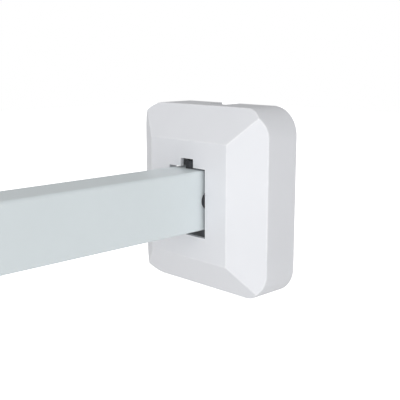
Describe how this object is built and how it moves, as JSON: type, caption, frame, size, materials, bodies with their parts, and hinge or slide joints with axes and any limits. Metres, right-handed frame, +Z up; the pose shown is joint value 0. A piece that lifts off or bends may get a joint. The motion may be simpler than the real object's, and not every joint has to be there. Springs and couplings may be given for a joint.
{
  "type": "curtain rod with brackets",
  "caption": "Straight rectangular curtain rod fixed between two walls, with a bevelled white cover at each end that slides along the rod over the wall plate and its screws.",
  "frame": {"origin": "on the left wall, at the centre of the left wall plate's back, on the rod's centre line", "axes": "+X along the rod from the left wall to the right wall, +Y towards the window (the side with the side screws), +Z up"},
  "size_m": [0.6, 0.088, 0.094],
  "materials": {
    "rod_paint": "satin powder coat, white with a slight green tint",
    "cover_plastic": "satin moulded white plastic",
    "zinc_steel": "zinc plated sheet steel",
    "nut_steel": "zinc plated weld nut",
    "black_steel": "black oxide",
    "spring_steel": "tempered strip",
    "rivet_metal": "plain"
  },
  "bodies": {
    "frame": {"rod": "rod_paint", "left_wall_plate": "zinc_steel", "left_socket": "zinc_steel", "left_side_nut": "nut_steel", "left_top_nut": "nut_steel", "left_front_clip": "spring_steel", "left_back_clip": "spring_steel", "left_clip_rivets": "rivet_metal", "right_wall_plate": "zinc_steel", "right_socket": "zinc_steel", "right_side_nut": "nut_steel", "right_top_nut": "nut_steel", "right_front_clip": "spring_steel", "right_back_clip": "spring_steel", "right_clip_rivets": "rivet_metal"},
    "left_cover": {"left_cover": "cover_plastic"},
    "left_side_screw": {"left_side_screw": "black_steel"},
    "left_top_screw": {"left_top_screw": "black_steel"},
    "right_cover": {"right_cover": "cover_plastic"},
    "right_side_screw": {"right_side_screw": "black_steel"},
    "right_top_screw": {"right_top_screw": "black_steel"}
  },
  "joints": [
    {"name": "left_cover_slide", "type": "slide", "parent": "frame", "child": "left_cover", "axis": [1, 0, 0], "range_m": [0, 0.26]},
    {"name": "left_side_screw_turn", "type": "hinge", "parent": "frame", "child": "left_side_screw", "pos_m": [0.0275, 0.011, 0], "axis": [0, 1, 0], "range_deg": [0, 2160]},
    {"name": "left_top_screw_turn", "type": "hinge", "parent": "frame", "child": "left_top_screw", "pos_m": [0.0275, 0, 0.015], "axis": [0, 0, 1], "range_deg": [0, 2160]},
    {"name": "right_cover_slide", "type": "slide", "parent": "frame", "child": "right_cover", "axis": [-1, 0, 0], "range_m": [0, 0.26]},
    {"name": "right_side_screw_turn", "type": "hinge", "parent": "frame", "child": "right_side_screw", "pos_m": [0.5725, 0.011, 0], "axis": [0, 1, 0], "range_deg": [0, 2160]},
    {"name": "right_top_screw_turn", "type": "hinge", "parent": "frame", "child": "right_top_screw", "pos_m": [0.5725, 0, 0.015], "axis": [0, 0, 1], "range_deg": [0, 2160]}
  ]
}
